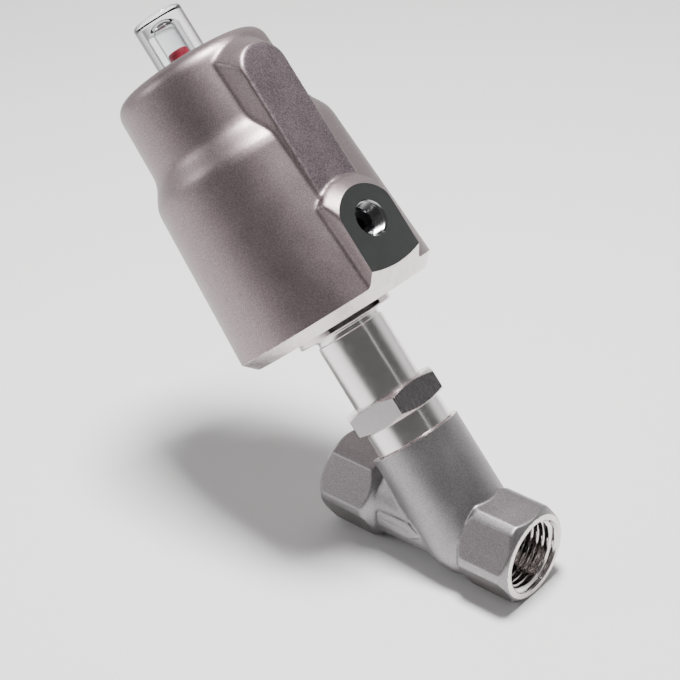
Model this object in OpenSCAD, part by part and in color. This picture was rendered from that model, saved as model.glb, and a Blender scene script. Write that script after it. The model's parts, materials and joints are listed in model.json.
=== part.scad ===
/* [Valve body] */
// Distance between the two pipe faces
face_to_face = 65; // [62:1:90]
// Distance from the outlet face back to where the valve axis crosses the pipe axis
outlet_to_axis = 21; // [20:1:26]
// Angle between the pipe axis and the valve axis
seat_angle = 50; // [47:1:54]
// Width across the flats of the two hexagon ends
hex_af = 25; // [25:0.5:30]
// Length of each hexagon end
hex_len = 16; // [14:1:18]
// Diameter to which the hexagon corners are turned
hex_corner_d = 27.5; // [26.5:0.5:28.5]
// Major diameter of the pipe thread
pipe_thread_d = 20.96; // [18:0.02:21.6]
// Depth of the pipe thread
pipe_thread_len = 14; // [12:0.5:14.5]
// Outer diameter of the casting between the hexagons
waist_d = 23; // [22:0.5:24.5]
// Diameter of the flow passages beside the seat
passage_d = 14; // [12:0.5:15]
// Bore of the seat
orifice_d = 13; // [11:0.5:13]
// Height of the seat face above the pipe axis, along the valve axis
seat_rise = 4; // [3.5:0.1:5]
// Thickness of the seat web
seat_web = 2.5; // [2:0.1:3]

/* [Neck and bonnet] */
// Outer diameter of the neck
neck_d = 26.2; // [25.5:0.1:27]
// Height of the neck rim above the pipe axis, along the valve axis
neck_rise = 29; // [28:0.5:34]
// Bore of the chamber round the plug
chamber_d = 19; // [18.6:0.1:19.4]
// Diameter of the thread between neck and bonnet
neck_thread_d = 21; // [20.6:0.1:21.5]
// Room left above the plug at full lift
lift_room = 1; // [0.5:0.1:1.4]
// Thickness of the bonnet gasket
gasket_t = 1; // [0.6:0.1:1.5]
// Diameter of the polished collar
collar_d = 22.8; // [22.4:0.1:24]
// Height of the polished collar
collar_h = 7; // [6:0.5:9]
// Width across the flats of the bonnet hexagon
nut_af = 26; // [25:0.5:28]
// Height of the bonnet hexagon
nut_h = 7; // [6:0.5:9]
// Direction of the bonnet hexagon's corner round the valve axis
nut_turn = 22; // [0:1:60]

/* [Spindle tube and packing] */
// Outer diameter of the polished tube
tube_d = 20; // [19:0.1:20.4]
// Bore of the tube
tube_bore_d = 15; // [14:0.1:15.6]
// Length of tube in view between the hexagon and the actuator
tube_show = 21.3; // [18:0.1:30]
// Number of chevron packing rings
packing_count = 5; // [3:1:6]
// Height of one chevron ring with its gap
packing_pitch = 1.8; // [1.4:0.1:2]
// Length of the packing spring as fitted
packing_spring_len = 13; // [11:0.5:14]
// Wire diameter of the packing spring
packing_wire = 1.5; // [1:0.1:1.7]

/* [Spindle and plug] */
// Diameter of the spindle
spindle_d = 10; // [9:0.1:10.4]
// Lift of the plug from closed to open
stroke = 7.5; // [5:0.1:7.8]
// Diameter of the plug
plug_d = 17; // [16:0.1:17.4]
// Height of the plug above its seal
plug_h = 7; // [6:0.1:7.4]
// Thickness of the seat seal
seal_t = 2.5; // [2:0.1:3]
// Diameter of the cross pin through plug and spindle
cross_pin_d = 2.5; // [2:0.1:3]
// Radial clearance of every running fit
run_fit = 0.06; // [0.03:0.01:0.09]
// Radial clearance of every assembled fit
seat_fit = 0.03; // [0.02:0.01:0.05]

/* [Actuator] */
// Piston bore of the actuator
bore_d = 50; // [48:0.2:50.8]
// Wall of the housing at its foot
foot_wall = 4.8; // [4.5:0.1:7]
// Wall of the housing at the top of the wide part
waist_wall = 2; // [2:0.1:3.5]
// Height of the wide part
wide_h = 50; // [48:0.5:56]
// Height of the sloping shoulder
shoulder_h = 6.2; // [5:0.2:8]
// Wall of the head above the shoulder
head_foot_wall = 3.5; // [3.2:0.1:4.2]
// Wall of the head at its top
head_wall = 2.7; // [2.2:0.1:3.2]
// Height of the head above the shoulder
head_h = 23; // [22:0.2:30]
// Rounding of the top edge
head_round = 4.5; // [2:0.1:5]
// Radial room between the outer return spring and the head
spring_room = 0.8; // [0.5:0.1:1.2]
// Thickness of the top wall
crown_t = 3.4; // [3:0.1:4.5]
// Turned chamfer of the foot
foot_chamfer = 3.4; // [2:0.1:3.6]
// Depth from the foot to the snap ring
ring_depth = 2.8; // [2.6:0.1:3.4]
// Thickness of the snap ring
ring_t = 1.5; // [1.2:0.1:1.8]
// Thickness of the base cover
base_t = 6.8; // [6.6:0.1:7.4]
// Diameter of the hub under the base cover
hub_d = 28.2; // [27:0.2:30]
// How far the hub stands out of the foot
hub_proud = 2; // [1.8:0.1:3]
// Width of the clip slot across the hub
clip_slot_w = 16; // [14:0.5:18]
// Direction of the clip slot round the valve axis
clip_turn = -24; // [-60:1:60]

/* [Air channel and pilot port] */
// Wall between the piston bore and the channel's flat face
rib_wall = 2.8; // [2.4:0.1:4]
// Width of the channel's flat face
rib_w = 15; // [13:0.5:15.5]
// Distance of the channel face's rounded end from the top
rib_drop = 7.1; // [6:0.1:10]
// Wall between the piston bore and the pilot face
pad_wall = 6.5; // [6.2:0.1:9]
// Width of the pilot face
pad_w = 18.7; // [17.5:0.1:20]
// Height of the pilot port above the foot
port_rise = 18.4; // [18:0.1:20]
// Major diameter of the pilot thread
port_thread_d = 9.72; // [8:0.02:9.8]
// Depth of the pilot thread
port_thread_len = 5.5; // [5:0.1:5.8]
// Lean of the cast sides of channel and pilot boss
draft = 12; // [5:1:14]

/* [Piston and springs] */
// Height of the piston rim
piston_h = 10; // [9.4:0.1:11]
// Thickness of the piston web
piston_web = 3.5; // [3:0.1:4.5]
// Gap between base cover and piston at rest
lower_room = 10.5; // [10.2:0.1:12]
// Wire diameter of the outer return spring
outer_wire = 2.8; // [2:0.1:3]
// Mean diameter of the outer return spring
outer_mean_d = 35.2; // [34.6:0.1:35.6]
// Turns of the outer return spring
outer_turns = 8; // [6:0.5:10]
// Wire diameter of the inner return spring
inner_wire = 2; // [1.5:0.1:2.4]
// Mean diameter of the inner return spring
inner_mean_d = 24; // [22:0.2:26]
// Turns of the inner return spring
inner_turns = 9; // [7:0.5:11]

/* [Sight glass and indicator] */
// Outer diameter of the sight glass
glass_d = 14.4; // [13.5:0.1:16]
// Height of the sight glass above the housing
glass_h = 15.2; // [14.8:0.1:18]
// Wall of the sight glass
glass_wall = 4.2; // [3.6:0.1:4.4]
// Thickness of the sight glass over its hollow
glass_roof = 1.8; // [1.4:0.1:2]
// Diameter of the sight glass thread
glass_thread_d = 10.6; // [10.2:0.1:11.6]
// Diameter of the red indicator head
indicator_d = 4; // [3.4:0.1:4.4]
// How far the indicator shows at rest
indicator_show = 4.5; // [3:0.1:4.7]

/* [Hidden] */
$fn = 72;

axis_x = face_to_face - outlet_to_axis;
axis_lean = seat_angle - 90;
// How far the underside of the round belly stays above the underside of the waist
belly_rise = 0.8;
belly_z = waist_d / 2 - belly_rise;
far = 80;
mouth_lead = 0.2;
hex_face_lead = 1.9;
hex_face_land = 0.5;
hex_root_run = 2;
hex_root_dip = 0.4;

// Housing, built outwards from the piston bore and from the outer return spring
foot_d = bore_d + 2 * foot_wall;
waist_top_d = bore_d + 2 * waist_wall;
head_bore_d = outer_mean_d + outer_wire + 2 * spring_room;
head_foot_d = head_bore_d + 2 * head_foot_wall;
head_top_d = head_bore_d + 2 * head_wall;
rib_face = bore_d / 2 + rib_wall;
pad_face = bore_d / 2 + pad_wall;

// Stations along the valve axis, from the pipe axis outwards
seat_s = seat_rise;
plug_s = seat_s + seal_t;
neck_s = neck_rise;
spigot_s = plug_s + plug_h + stroke + lift_room;
spigot_len = neck_s - spigot_s;
neck_step_s = spigot_s - gasket_t;
wiper_t = 1.8;
wiper_r = 7;
lip_t = 1.7;
lip_gap = 0.6;
packing_s = spigot_s + wiper_t + lip_t;
collar_top_s = neck_s + collar_h;
nut_top_s = collar_top_s + nut_h;
tube_step = 1.5;
tube_foot_s = neck_s + tube_step;
hub_s = nut_top_s + tube_show;
foot_s = hub_s + hub_proud;
base_s = foot_s + ring_depth + ring_t;
base_top_s = base_s + base_t;
cover_lip = 4.4;
tube_top_s = base_top_s - cover_lip;
piston_s = base_top_s + lower_room;
web_top_s = piston_s + piston_web;
wide_top_s = foot_s + wide_h;
shoulder_s = wide_top_s + shoulder_h;
top_s = shoulder_s + head_h;
crown_s = top_s - crown_t;
port_s = foot_s + port_rise;

// Bonnet hexagon, its corners chamfered at both ends
nut_land_r = nut_af / 2 - 0.2;
nut_corner_r = nut_af / 2 + 1.9;
nut_chamfer = 1.1;

// Grooves round the tube: one in view under the hub, one for the clip inside it
view_groove = [hub_s - 2, 1.5, 0.5];
clip_groove = [hub_s + 0.3, 1.4, 0.9];
clip_slot_s = hub_s + 0.5;
clip_slot_t = 1.1;
clip_t = 1;

// O-rings and their grooves, and the pocket cast into the underside of the cover
cord_r = 0.88;
o_ring_gap = 0.1;
groove_w = 2.2;
groove_depth = 2 * cord_r + 2 * o_ring_gap;
base_groove_s = base_s + 2;
tube_groove_s = tube_top_s - 4;
spindle_groove_s = base_top_s - 3;
pocket_depth = 2.2;
pocket_wall = 2.8;
tube_end_gap = 0.3;
clip_run = 2;
clip_gap = 0.2;

// Packing stack inside the tube
support_t = 2.4;
pressure_t = 2.4;
vee_s = packing_s + support_t;
pressure_s = vee_s + packing_count * packing_pitch;
pspring_s = pressure_s + pressure_t;
guide_s = pspring_s + packing_spring_len;
packing_r = tube_bore_d / 2 - seat_fit;
shaft_hole_r = spindle_d / 2 + run_fit;
packing_mid_r = (shaft_hole_r + packing_r) / 2;
vee_depth = 0.7;
vee_t = packing_pitch - vee_depth - 0.05;
packing_spring_turns = 6;

// Spindle ends
stud_r = 3;
top_stud_r = 4;
stud_show = 0.4;
plug_cone_h = 3;
plug_top_r = spindle_d / 2 + 1.8;
pin_inset = 0.8;
retainer_t = 1.2;
plug_nut_h = 2.4;
plug_nut_af = 8;
stud_foot_s = seat_s - retainer_t - plug_nut_h - stud_show;
piston_nut_h = 5;
piston_nut_af = 13;
// Width of the corners that the turning leaves past the flats
nut_turned = 0.5;
stud_top_s = web_top_s + piston_nut_h + 5 * stud_show;
rod_r = 1.2;
indicator_top_s = top_s + indicator_show;
indicator_roof = 2;
indicator_edge = 0.6;
rod_socket = 4;

// Where channel and pilot boss start inside the wall, and how far their upper ends lean
root_depth = 0.8;
cast_root = head_bore_d / 2 - root_depth;
shoulder_wall = 4.4;
pilot_hole_r = 2;
rib_end_lean = 35;
boss_end_lean = 51;
boss_drop = 0.9;
turn_reach = 12;

// Snap ring, spring seat and glass
ring_r = bore_d / 2 + 1.6;
ring_gap_w = 8;
ring_show = 2.2;
ring_free = 0.2;
coil_room = 0.5;
seal_lip = 1.4;
seal_lip_t = 0.3;
spring_seat_t = 1.2;
spring_seat_gap = 0.3;
spring_top_s = crown_s - spring_seat_t;
spring_len = spring_top_s - web_top_s;
glass_r = glass_d / 2;
glass_hole_r = glass_r - glass_wall;
glass_foot_gap = 0.2;
glass_seat = 1.2;
glass_land = 0.6;

module along() translate([axis_x, 0, 0]) rotate([0, axis_lean, 0]) children();

module at(s) translate([0, 0, s]) children();

module ring(r_in, r_out, h) difference() {
    cylinder(h = h, r = r_out);
    at(-1) cylinder(h = h + 2, r = r_in);
}

// Hexagon bar with a flat facing each side of Y, its corners turned to corner_r
module hex_bar(af, h, corner_r) intersection() {
    linear_extrude(h) circle(r = af / sqrt(3), $fn = 6);
    cylinder(h = h, r = corner_r);
}

// Closed coil with a flat turn at each end
function coil_z(a, turns, h, wire) =
    let (dead = 0.9, low = dead * wire * 1.04, high = h - wire - low)
    wire / 2 + (a < dead ? low * a / dead
        : a > turns - dead ? h - wire - low * (turns - a) / dead
        : low + (high - low) * (a - dead) / (turns - 2 * dead));

module coil(mean_d, wire, turns, h) {
    steps = 16;
    sides = 8;
    rings = round(turns * steps);
    r = mean_d / 2;
    wire_r = wire / 2;
    points = [for (i = [0:rings], j = [0:sides - 1])
        let (a = 360 * i / steps, b = 360 * j / sides, q = r + wire_r * cos(b))
        [q * cos(a), q * sin(a), coil_z(i / steps, turns, h, wire) + wire_r * sin(b)]];
    skin = [for (i = [0:rings - 1], j = [0:sides - 1])
        let (k = (j + 1) % sides)
        [i * sides + j, i * sides + k, (i + 1) * sides + k, (i + 1) * sides + j]];
    foot = [[for (j = [sides - 1:-1:0]) j]];
    head = [[for (j = [0:sides - 1]) rings * sides + j]];
    polyhedron(points, concat(skin, foot, head));
}

module pipe_along_x(x0, x1, r) translate([x0, 0, 0]) rotate([0, 90, 0]) cylinder(h = x1 - x0, r = r);

// Outer form of one hexagon end, turned at its face and at its shoulder
module hex_end() rotate([0, 90, 0]) intersection() {
    rotate([0, 0, 30]) linear_extrude(hex_len + hex_root_run) circle(r = hex_af / sqrt(3), $fn = 6);
    rotate_extrude() polygon([
        [0, 0], [hex_af / 2 - hex_face_land, 0], [hex_corner_d / 2, hex_face_lead],
        [hex_corner_d / 2, hex_len - hex_root_run / 2], [waist_d / 2 - hex_root_dip, hex_len + hex_root_run],
        [0, hex_len + hex_root_run]
    ]);
}

module body_outside() {
    hex_end();
    translate([face_to_face, 0, 0]) mirror([1, 0, 0]) hex_end();
    pipe_along_x(hex_len, face_to_face - hex_len, waist_d / 2);
    difference() {
        along() {
            cylinder(h = neck_s, r = neck_d / 2);
            sphere(r = neck_d / 2);
        }
        translate([0, -neck_d, -neck_d - belly_z]) cube([face_to_face, 2 * neck_d, neck_d]);
    }
}

// Half space below a plane across the valve axis
module below(s) along() translate([-far, -far, s - 2 * far]) cube(2 * far);

module flow_ways() {
    mouth_r = pipe_thread_d / 2 + mouth_lead;
    for (end = [0, 1]) translate([end * face_to_face, 0, 0]) mirror([end, 0, 0]) {
        pipe_along_x(-1, pipe_thread_len, pipe_thread_d / 2);
        rotate([0, 90, 0]) cylinder(h = 2 * mouth_lead, r1 = mouth_r, r2 = pipe_thread_d / 2);
    }
    difference() {
        pipe_along_x(pipe_thread_len - 1, axis_x, passage_d / 2);
        intersection() {
            below(seat_s);
            along() translate([-chamber_d / 2, -far, -far]) cube(2 * far);
        }
    }
    intersection() {
        pipe_along_x(axis_x - passage_d / 2, face_to_face - 1, passage_d / 2);
        below(seat_s - seat_web);
    }
    along() {
        at(seat_s) cylinder(h = neck_s, r = chamber_d / 2);
        at(neck_step_s) cylinder(h = neck_s, r = neck_thread_d / 2);
        at(-orifice_d / 4) cylinder(h = 2 * orifice_d, r = orifice_d / 2);
    }
}

module valve_body() color("#9c999a") difference() {
    body_outside();
    flow_ways();
}

module bonnet_gasket() color("#8d8a86")
    along() at(neck_step_s) ring(chamber_d / 2, neck_thread_d / 2 - seat_fit, gasket_t);

module bonnet() color("#b9b6b6") along() difference() {
    union() {
        at(spigot_s) cylinder(h = spigot_len + 1, r = neck_thread_d / 2 - seat_fit);
        at(neck_s) cylinder(h = collar_h, r = collar_d / 2);
        at(collar_top_s) rotate([0, 0, nut_turn]) intersection() {
            linear_extrude(nut_h) circle(r = nut_af / sqrt(3), $fn = 6);
            rotate_extrude() polygon([
                [0, 0], [nut_land_r, 0], [nut_corner_r, nut_chamfer],
                [nut_corner_r, nut_h - nut_chamfer], [nut_land_r, nut_h], [0, nut_h]
            ]);
        }
    }
    at(spigot_s - 1) cylinder(h = wiper_t + 1, r = wiper_r);
    at(spigot_s) cylinder(h = spigot_len, r = spindle_d / 2 + lip_gap);
    at(packing_s) cylinder(h = spigot_len + collar_h, r = tube_bore_d / 2);
    at(tube_foot_s) cylinder(h = collar_h + nut_h, r = tube_d / 2 + seat_fit);
}

module spindle_tube() color("#cfcccc") along() difference() {
    at(tube_foot_s) cylinder(h = tube_top_s - tube_foot_s, r = tube_d / 2);
    at(tube_foot_s - 1) cylinder(h = tube_top_s, r = tube_bore_d / 2);
    for (groove = [view_groove, clip_groove])
        at(groove[0]) ring(tube_d / 2 - groove[2], tube_d, groove[1]);
}

module spindle_wiper() color("#e9e6df")
    along() at(spigot_s) ring(shaft_hole_r, wiper_r - seat_fit, wiper_t);

module packing_support_ring() color("#c9c4b8") along() at(packing_s) difference() {
    ring(shaft_hole_r, packing_r, support_t);
    at(support_t - vee_depth) cylinder(h = vee_depth + 0.01, r1 = shaft_hole_r, r2 = packing_mid_r);
}

// One chevron ring, open downwards
module vee_ring() rotate_extrude() polygon([
    [shaft_hole_r, 0], [packing_mid_r, vee_depth], [packing_r, 0],
    [packing_r, vee_t], [packing_mid_r, vee_t + vee_depth], [shaft_hole_r, vee_t]
]);

module packing_rings() color("#f1efe9") along()
    for (i = [0:packing_count - 1]) at(vee_s + i * packing_pitch) vee_ring();

module packing_pressure_ring() color("#c9c4b8")
    along() at(pressure_s) ring(shaft_hole_r, packing_r, pressure_t);

module packing_spring() color("#bcbcbe") along() at(pspring_s)
    coil((spindle_d + tube_bore_d) / 2, packing_wire, packing_spring_turns, packing_spring_len);

module spindle_guide() color("#b08d57")
    along() at(guide_s) ring(shaft_hole_r, packing_r, tube_top_s - guide_s);

module spindle() color("#c9c9cb") along() difference() {
    union() {
        at(plug_s) cylinder(h = piston_s - plug_s, r = spindle_d / 2);
        at(stud_foot_s) cylinder(h = plug_s, r = stud_r);
        at(piston_s - 1) cylinder(h = stud_top_s - piston_s + 1, r = top_stud_r);
    }
    at(plug_s + plug_h / 2) rotate([90, 0, 0])
        cylinder(h = 4 * spindle_d, r = cross_pin_d / 2, center = true);
    at(stud_top_s - rod_socket) cylinder(h = rod_socket + 1, r = rod_r);
}

module valve_plug() color("#bfbdbd") along() difference() {
    at(plug_s) {
        cylinder(h = plug_h - plug_cone_h, r = plug_d / 2);
        at(plug_h - plug_cone_h) cylinder(h = plug_cone_h, r1 = plug_d / 2, r2 = plug_top_r);
    }
    at(plug_s - 1) cylinder(h = plug_h + 2, r = spindle_d / 2 + seat_fit);
    at(plug_s + plug_h / 2) rotate([90, 0, 0])
        cylinder(h = 2 * plug_d, r = cross_pin_d / 2, center = true);
}

module plug_cross_pin() color("#d8d8da") along() at(plug_s + plug_h / 2) rotate([90, 0, 0])
    cylinder(h = plug_d - 2 * pin_inset, r = cross_pin_d / 2 - seat_fit, center = true);

module seat_seal() color("#f4f2ec")
    along() at(seat_s) ring(stud_r + seat_fit, plug_d / 2, seal_t);

module seal_retainer() color("#c4c2c2")
    along() at(seat_s - retainer_t) ring(stud_r + seat_fit, orifice_d / 2 - 1, retainer_t);

module plug_nut() color("#c4c2c2") along() at(seat_s - retainer_t - plug_nut_h) difference() {
    hex_bar(plug_nut_af, plug_nut_h, plug_nut_af / 2 + nut_turned);
    at(-1) cylinder(h = plug_nut_h + 2, r = stud_r + seat_fit);
}

// Grooves for guide ring and seal: height above the piston's lower face, width, depth
piston_gap = 0.4;
guide_groove = [0.9, 2.5, 1.4];
seal_groove = [5.2, 3, 2.2];
piston_r = bore_d / 2 - piston_gap;

module piston() color("#a7a9ac") along() at(piston_s) difference() {
    cylinder(h = piston_h, r = piston_r);
    at(piston_web) cylinder(h = piston_h, r = outer_mean_d / 2 + outer_wire / 2 + coil_room);
    at(-1) cylinder(h = piston_h, r = top_stud_r + seat_fit);
    for (groove = [guide_groove, seal_groove])
        at(groove[0]) ring(piston_r - groove[2], bore_d, groove[1]);
}

module piston_guide_ring() color("#3c4a52") along() at(piston_s + guide_groove[0])
    ring(piston_r - guide_groove[2] + seat_fit, bore_d / 2 - run_fit, guide_groove[1]);

// Lip seal, open towards the air side
module piston_seal() color("#2a2a2c") along() at(piston_s + seal_groove[0]) difference() {
    ring(piston_r - seal_groove[2] + seat_fit, bore_d / 2 - run_fit, seal_groove[1]);
    at(-1) ring(piston_r - seal_lip, piston_r - seal_lip_t, 1 + seal_lip);
}

module piston_nut() color("#c4c2c2") along() at(web_top_s) difference() {
    hex_bar(piston_nut_af, piston_nut_h, piston_nut_af / 2 + nut_turned);
    at(-1) cylinder(h = piston_nut_h + 2, r = top_stud_r + seat_fit);
}

module indicator_rod() color("#cfcfd1") along() at(stud_top_s - rod_socket)
    cylinder(h = indicator_top_s - indicator_roof - stud_top_s + rod_socket, r = rod_r - seat_fit);

module position_indicator() color("#c23546") along() difference() {
    head_r = indicator_d / 2;
    rotate_extrude() polygon([
        [0, crown_s], [head_r, crown_s], [head_r, indicator_top_s - indicator_edge],
        [head_r - indicator_edge, indicator_top_s], [0, indicator_top_s]
    ]);
    at(crown_s - 1) cylinder(h = indicator_top_s - indicator_roof - crown_s + 1, r = rod_r);
}

module housing_outside() {
    foot_r = foot_d / 2;
    head_r = head_top_d / 2;
    rotate_extrude() {
        polygon([
            [0, foot_s], [foot_r - foot_chamfer, foot_s], [foot_r, foot_s + foot_chamfer],
            [waist_top_d / 2, wide_top_s], [head_foot_d / 2, shoulder_s],
            [head_r, top_s - head_round], [head_r - head_round, top_s], [0, top_s]
        ]);
        translate([head_r - head_round, top_s - head_round]) circle(r = head_round);
    }
}

// Space between two leaning sides, half apart at the face and wider inwards
module between_sides(face, half, lean) {
    root_half = half + (face - cast_root) * tan(lean);
    at(foot_s) linear_extrude(top_s - foot_s) polygon([
        [cast_root, -root_half], [face, -half], [face, half], [cast_root, root_half]
    ]);
}

// Round upper end of a cast pad, which widens inwards as a cone
module round_end(s, face, r, lean) {
    depth = face - cast_root;
    at(s) rotate([0, 90, 0]) at(cast_root) cylinder(h = depth, r1 = r + depth * tan(lean), r2 = r);
}

// Cast air channel up the side
module air_channel() intersection() {
    end_s = top_s - rib_drop - rib_w / 2;
    union() {
        round_end(end_s, rib_face, rib_w / 2, rib_end_lean);
        translate([cast_root, -rib_w, foot_s]) cube([rib_face - cast_root, 2 * rib_w, end_s - foot_s]);
    }
    between_sides(rib_face, rib_w / 2, draft);
}

// Boss of the pilot port, its round end a little below the port's centre
module pilot_boss() intersection() {
    end_s = port_s - boss_drop;
    union() {
        round_end(end_s, pad_face, pad_w / 2, boss_end_lean);
        translate([cast_root, -pad_w, foot_s]) cube([pad_face - cast_root, 2 * pad_w, end_s - foot_s]);
    }
    between_sides(pad_face, pad_w / 2, draft / 2);
}

module housing_inside() {
    ring_s = foot_s + ring_depth;
    rotate_extrude() polygon([
        [0, foot_s - 1], [bore_d / 2, foot_s - 1], [bore_d / 2, ring_s], [ring_r, ring_s],
        [ring_r, ring_s + ring_t], [bore_d / 2, ring_s + ring_t], [bore_d / 2, wide_top_s - shoulder_wall],
        [head_bore_d / 2, shoulder_s - shoulder_wall / 2], [head_bore_d / 2, crown_s], [0, crown_s]
    ]);
    at(crown_s - 1) cylinder(h = crown_t + 2, r = glass_thread_d / 2);
    at(top_s - glass_seat) cylinder(h = glass_seat + 1, r = glass_r - glass_land);
    at(port_s) rotate([0, 90, 0]) {
        at(pad_face - port_thread_len) cylinder(h = port_thread_len + 1, r = port_thread_d / 2);
        cylinder(h = pad_face, r = pilot_hole_r);
    }
}

module actuator_housing() color("#8f878a") along() difference() {
    union() {
        housing_outside();
        air_channel();
        pilot_boss();
    }
    housing_inside();
    // The chamfer is turned on a lathe, so it runs on across the pilot boss
    rotate_extrude() translate([foot_d / 2 - foot_chamfer, foot_s])
        polygon([[0, 0], [turn_reach, turn_reach], [turn_reach, -1], [0, -1]]);
}

// O-ring lying in its groove, on a shaft or bore of radius r; side is 1 outside r and -1 inside it
module o_ring(r, side) rotate_extrude() translate([r + side * (cord_r + o_ring_gap), 0]) circle(r = cord_r);

module base_cover() color("#c9bfc0") along() difference() {
    slot_r = tube_d / 2 + clip_run;
    union() {
        at(base_s) cylinder(h = base_t, r = bore_d / 2 - seat_fit);
        at(hub_s) cylinder(h = base_s - hub_s + 1, r = hub_d / 2);
    }
    at(hub_s - 1) cylinder(h = tube_top_s + tube_end_gap - hub_s + 1, r = tube_d / 2 + run_fit);
    at(hub_s) cylinder(h = base_top_s, r = shaft_hole_r);
    at(base_groove_s) ring(bore_d / 2 - groove_depth, bore_d, groove_w);
    at(base_s - 1) ring(hub_d / 2 + pocket_wall, bore_d / 2 - pocket_wall, 1 + pocket_depth);
    at(tube_groove_s) cylinder(h = groove_w, r = tube_d / 2 + groove_depth);
    at(spindle_groove_s) cylinder(h = groove_w, r = spindle_d / 2 + groove_depth);
    at(clip_slot_s) rotate([0, 0, clip_turn]) translate([0, -clip_slot_w / 2, 0])
        cube([hub_d, clip_slot_w, clip_slot_t]);
    at(clip_slot_s) cylinder(h = clip_slot_t, r = slot_r);
}

module base_o_ring() color("#2a2a2c") along() at(base_groove_s + groove_w / 2) o_ring(bore_d / 2, -1);

module snap_ring() color("#b5b5b8") along() at(foot_s + ring_depth) difference() {
    ring(bore_d / 2 - ring_show, ring_r - ring_free, ring_t);
    rotate([0, 0, 180]) translate([0, -ring_gap_w / 2, -1]) cube([bore_d, ring_gap_w, ring_t + 2]);
}

module tube_o_ring() color("#2a2a2c") along() at(tube_groove_s + groove_w / 2) o_ring(tube_d / 2, 1);

module spindle_o_ring() color("#2a2a2c") along() at(spindle_groove_s + groove_w / 2) o_ring(spindle_d / 2, 1);

// Flat fork that sits in the tube groove and turns with the hub
module retaining_clip() color("#77777a") along() rotate([0, 0, clip_turn]) difference() {
    outer_r = tube_d / 2 + clip_run - clip_gap;
    inner_r = tube_d / 2 - clip_groove[2] + clip_gap;
    at(clip_slot_s + (clip_slot_t - clip_t) / 2) intersection() {
        cylinder(h = clip_t, r = outer_r);
        translate([-hub_d, -hub_d, 0]) cube([hub_d + outer_r - 2 * clip_gap, 2 * hub_d, clip_t]);
    }
    at(hub_s) cylinder(h = clip_groove[1] + 1, r = inner_r);
    translate([-hub_d, -inner_r, hub_s]) cube([hub_d, 2 * inner_r, clip_groove[1] + 1]);
}

module spring_seat() color("#b5b5b8") along() at(spring_top_s)
    ring(glass_thread_d / 2 + 1, head_bore_d / 2 - spring_seat_gap, spring_seat_t);

module return_spring_outer() color("#6f7073") along() at(web_top_s)
    coil(outer_mean_d, outer_wire, outer_turns, spring_len);

module return_spring_inner() color("#6f7073") along() at(web_top_s)
    coil(inner_mean_d, inner_wire, inner_turns, spring_len);

module sight_glass() color("#dfe6ea", 0.4) along() difference() {
    dome_s = top_s + glass_h - glass_roof - glass_hole_r;
    union() {
        at(top_s) cylinder(h = glass_h, r = glass_r);
        at(crown_s + glass_foot_gap) cylinder(h = crown_t, r = glass_thread_d / 2 - seat_fit);
    }
    at(crown_s) cylinder(h = dome_s - crown_s, r = glass_hole_r);
    at(dome_s) sphere(r = glass_hole_r);
}

module sight_glass_o_ring() color("#2a2a2c") along() at(top_s - glass_seat)
    ring(glass_thread_d / 2 + run_fit, glass_r - glass_land - run_fit, glass_seat - run_fit);

valve_body();
bonnet_gasket();
bonnet();
spindle_tube();
spindle_wiper();
packing_support_ring();
packing_rings();
packing_pressure_ring();
packing_spring();
spindle_guide();
spindle();
valve_plug();
plug_cross_pin();
seat_seal();
seal_retainer();
plug_nut();
piston();
piston_guide_ring();
piston_seal();
piston_nut();
indicator_rod();
position_indicator();
actuator_housing();
base_cover();
base_o_ring();
snap_ring();
tube_o_ring();
spindle_o_ring();
retaining_clip();
spring_seat();
return_spring_outer();
return_spring_inner();
sight_glass();
sight_glass_o_ring();
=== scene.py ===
"""Looks of the angle seat valve: cast and machined steel, polished tube, clear sight glass, red indicator."""

import json
import math

import bmesh
import bpy
import numpy as np
from mathutils import Matrix, Vector


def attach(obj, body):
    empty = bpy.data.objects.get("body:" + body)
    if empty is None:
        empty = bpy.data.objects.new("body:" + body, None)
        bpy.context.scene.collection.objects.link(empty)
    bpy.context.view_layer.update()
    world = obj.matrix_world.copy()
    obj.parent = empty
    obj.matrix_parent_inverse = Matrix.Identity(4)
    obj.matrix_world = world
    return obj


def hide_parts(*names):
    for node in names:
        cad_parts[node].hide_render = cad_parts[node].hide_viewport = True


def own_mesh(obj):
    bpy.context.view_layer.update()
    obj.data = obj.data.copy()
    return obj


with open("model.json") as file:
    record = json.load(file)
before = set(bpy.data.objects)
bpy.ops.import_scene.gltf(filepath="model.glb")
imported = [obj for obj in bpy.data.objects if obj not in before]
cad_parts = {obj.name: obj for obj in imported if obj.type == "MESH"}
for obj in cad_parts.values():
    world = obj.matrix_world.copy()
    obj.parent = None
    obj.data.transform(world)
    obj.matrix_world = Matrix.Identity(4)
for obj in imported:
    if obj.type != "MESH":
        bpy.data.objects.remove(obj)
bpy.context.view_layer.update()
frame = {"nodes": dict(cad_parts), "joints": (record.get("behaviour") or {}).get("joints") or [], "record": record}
RECORD = frame["record"]
NODES = frame["nodes"]
JOINTS = {joint["name"]: joint for joint in frame["joints"]}
MOUNTS = {mount["name"]: mount for mount in RECORD["mounts"]}

MM = 0.001
TAU = 2 * math.pi
FOOT_S = 66.3
FACE_TO_FACE = MOUNTS["outlet_port"]["pos_m"][0] / MM
VALVE_DIR = Vector(JOINTS["stem_lift"]["axis"])
PORT_DIR = Vector(MOUNTS["pilot_port"]["axis"])
AXIS_ORIGIN = Vector(JOINTS["actuator_swivel"]["pos_m"]) - VALVE_DIR * FOOT_S * MM
X_DIR, Y_DIR, Z_DIR = Vector((1, 0, 0)), Vector((0, 1, 0)), Vector((0, 0, 1))


def frame_matrix(x_dir, y_dir, z_dir, origin=(0, 0, 0)):
    """Takes millimetres along three directions to metres in the shared frame."""
    turn = Matrix((x_dir, y_dir, z_dir)).transposed().to_4x4()
    return Matrix.Translation(origin) @ turn @ Matrix.Scale(MM, 4)


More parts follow.
